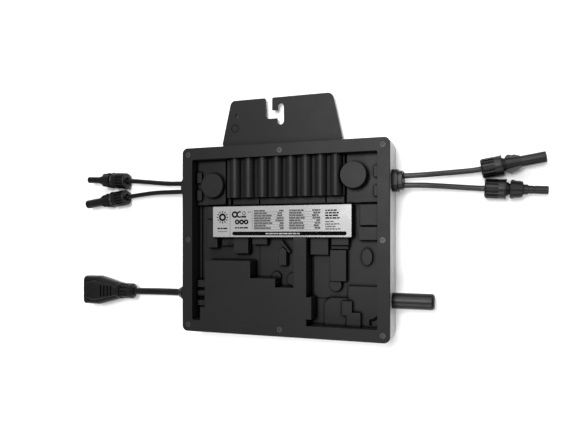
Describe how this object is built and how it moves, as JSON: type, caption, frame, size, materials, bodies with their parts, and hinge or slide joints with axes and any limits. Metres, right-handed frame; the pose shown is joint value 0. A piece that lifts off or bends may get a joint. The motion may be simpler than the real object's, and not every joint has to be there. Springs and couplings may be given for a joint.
{
  "type": "micro-inverter",
  "caption": "Flat two-input micro-inverter lying on its back, with a relief-cast cover, hook-slot bracket, panel leads, mains lead and stub antenna.",
  "frame": {"origin": "centre of the case's flat back face", "axes": "+Z out of the front cover, +Y towards the hanging bracket, +X towards the antenna side"},
  "size_m": [0.524, 0.2569, 0.04],
  "materials": {
    "dark_casting": "matt dark grey casting",
    "tray_metal": "satin, bead blasted",
    "bracket_sheet": "matt dark grey powder coat",
    "steel": "satin",
    "dark_screw": "darkened",
    "gasket_rubber": "matt",
    "black_rubber": "matt",
    "black_plastic": "fine grain",
    "cable_jacket": "satin jacket",
    "label_film": "satin silver film",
    "board_green": "solder mask",
    "potting": "matt",
    "capacitor_sleeve": "shrink sleeve",
    "ferrite": "sintered",
    "copper_wire": "enamelled",
    "chip_black": "moulded",
    "film_yellow": "boxed",
    "relay_blue": "boxed",
    "terminal_green": "moulded",
    "contact_metal": "tinned copper",
    "insert_grey": "moulded"
  },
  "bodies": {
    "inverter": {"ac_gland_body": "black_plastic", "ac_plug_body": "black_plastic", "ac_plug_contacts": "contact_metal", "ac_plug_insert": "insert_grey", "ac_relays": "relay_blue", "ac_terminal": "terminal_green", "antenna_element": "contact_metal", "antenna_sleeve": "black_plastic", "board_screws": "steel", "bracket_screws": "steel", "capacitor_cradle": "chip_black", "choke_cores": "ferrite", "choke_windings": "copper_wire", "control_chips": "chip_black", "cover_gasket": "gasket_rubber", "cover_screws": "dark_screw", "dc_gland_left": "black_plastic", "dc_gland_right": "black_plastic", "dc_seal_left": "black_rubber", "dc_seal_right": "black_rubber", "dc_terminal_left": "terminal_green", "dc_terminal_right": "terminal_green", "film_capacitors": "film_yellow", "front_cover": "dark_casting", "inner_wires": "contact_metal", "input_capacitors": "capacitor_sleeve", "left_lower_body": "black_plastic", "left_lower_contact": "contact_metal", "left_lower_lead": "cable_jacket", "left_upper_body": "black_plastic", "left_upper_contact": "contact_metal", "left_upper_lead": "cable_jacket", "main_board": "board_green", "mains_lead": "cable_jacket", "mounting_bracket": "bracket_sheet", "power_transistors": "chip_black", "radio_module": "contact_metal", "rating_label": "label_film", "rear_housing": "tray_metal", "right_lower_body": "black_plastic", "right_lower_contact": "contact_metal", "right_lower_lead": "cable_jacket", "right_upper_body": "black_plastic", "right_upper_contact": "contact_metal", "right_upper_lead": "cable_jacket", "thermal_potting": "potting", "transformer_cores": "ferrite", "transformer_windings": "copper_wire"},
    "right_upper_clamping": {"right_upper_collet": "black_rubber"},
    "right_upper_turning": {"right_upper_nut": "black_plastic"},
    "right_lower_clamping": {"right_lower_collet": "black_rubber"},
    "right_lower_turning": {"right_lower_nut": "black_plastic"},
    "left_upper_clamping": {"left_upper_collet": "black_rubber"},
    "left_upper_turning": {"left_upper_nut": "black_plastic"},
    "left_lower_clamping": {"left_lower_collet": "black_rubber"},
    "left_lower_turning": {"left_lower_nut": "black_plastic"},
    "ac_gland_clamping": {"ac_gland_seal": "black_rubber"},
    "ac_gland_turning": {"ac_gland_nut": "black_plastic"},
    "ac_plug_clamping": {"ac_plug_collet": "black_rubber"},
    "ac_plug_turning": {"ac_plug_nut": "black_plastic"}
  },
  "joints": [
    {"name": "right_upper_clamp_slide", "type": "slide", "parent": "inverter", "child": "right_upper_clamping", "axis": [-0.9871, -0.1599, 0], "range_m": [0, 0.003]},
    {"name": "right_upper_nut_turn", "type": "hinge", "parent": "right_upper_clamping", "child": "right_upper_turning", "pos_m": [0.1976, 0.0688, 0.0098], "axis": [-0.9871, -0.1599, 0], "range_deg": [0, 720]},
    {"name": "right_lower_clamp_slide", "type": "slide", "parent": "inverter", "child": "right_lower_clamping", "axis": [-0.9984, 0.0558, 0], "range_m": [0, 0.003]},
    {"name": "right_lower_nut_turn", "type": "hinge", "parent": "right_lower_clamping", "child": "right_lower_turning", "pos_m": [0.2007, 0.0499, 0.0098], "axis": [-0.9984, 0.0558, 0], "range_deg": [0, 720]},
    {"name": "left_upper_clamp_slide", "type": "slide", "parent": "inverter", "child": "left_upper_clamping", "axis": [0.9986, -0.0523, 0], "range_m": [0, 0.003]},
    {"name": "left_upper_nut_turn", "type": "hinge", "parent": "left_upper_clamping", "child": "left_upper_turning", "pos_m": [-0.2077, 0.0707, 0.0098], "axis": [0.9986, -0.0523, 0], "range_deg": [0, 720]},
    {"name": "left_lower_clamp_slide", "type": "slide", "parent": "inverter", "child": "left_lower_clamping", "axis": [0.9912, 0.1323, 0], "range_m": [0, 0.003]},
    {"name": "left_lower_nut_turn", "type": "hinge", "parent": "left_lower_clamping", "child": "left_lower_turning", "pos_m": [-0.2082, 0.0509, 0.0098], "axis": [0.9912, 0.1323, 0], "range_deg": [0, 720]},
    {"name": "ac_gland_clamp_slide", "type": "slide", "parent": "inverter", "child": "ac_gland_clamping", "axis": [-1, 0, 0], "range_m": [0, 0.003]},
    {"name": "ac_gland_nut_turn", "type": "hinge", "parent": "ac_gland_clamping", "child": "ac_gland_turning", "pos_m": [-0.11365, -0.0609, 0.016], "axis": [-1, 0, 0], "range_deg": [0, 720]},
    {"name": "ac_plug_clamp_slide", "type": "slide", "parent": "inverter", "child": "ac_plug_clamping", "axis": [1, 0, 0], "range_m": [0, 0.003]},
    {"name": "ac_plug_nut_turn", "type": "hinge", "parent": "ac_plug_clamping", "child": "ac_plug_turning", "pos_m": [-0.195, -0.0619, 0.0124], "axis": [1, 0, 0], "range_deg": [0, 720]}
  ],
  "couplings": [
    {"joint": "right_upper_clamp_slide", "follows": "right_upper_nut_turn", "m_per_rad": 0.000238},
    {"joint": "right_lower_clamp_slide", "follows": "right_lower_nut_turn", "m_per_rad": 0.000238},
    {"joint": "left_upper_clamp_slide", "follows": "left_upper_nut_turn", "m_per_rad": 0.000238},
    {"joint": "left_lower_clamp_slide", "follows": "left_lower_nut_turn", "m_per_rad": 0.000238},
    {"joint": "ac_gland_clamp_slide", "follows": "ac_gland_nut_turn", "m_per_rad": 0.000238},
    {"joint": "ac_plug_clamp_slide", "follows": "ac_plug_nut_turn", "m_per_rad": 0.000238}
  ]
}
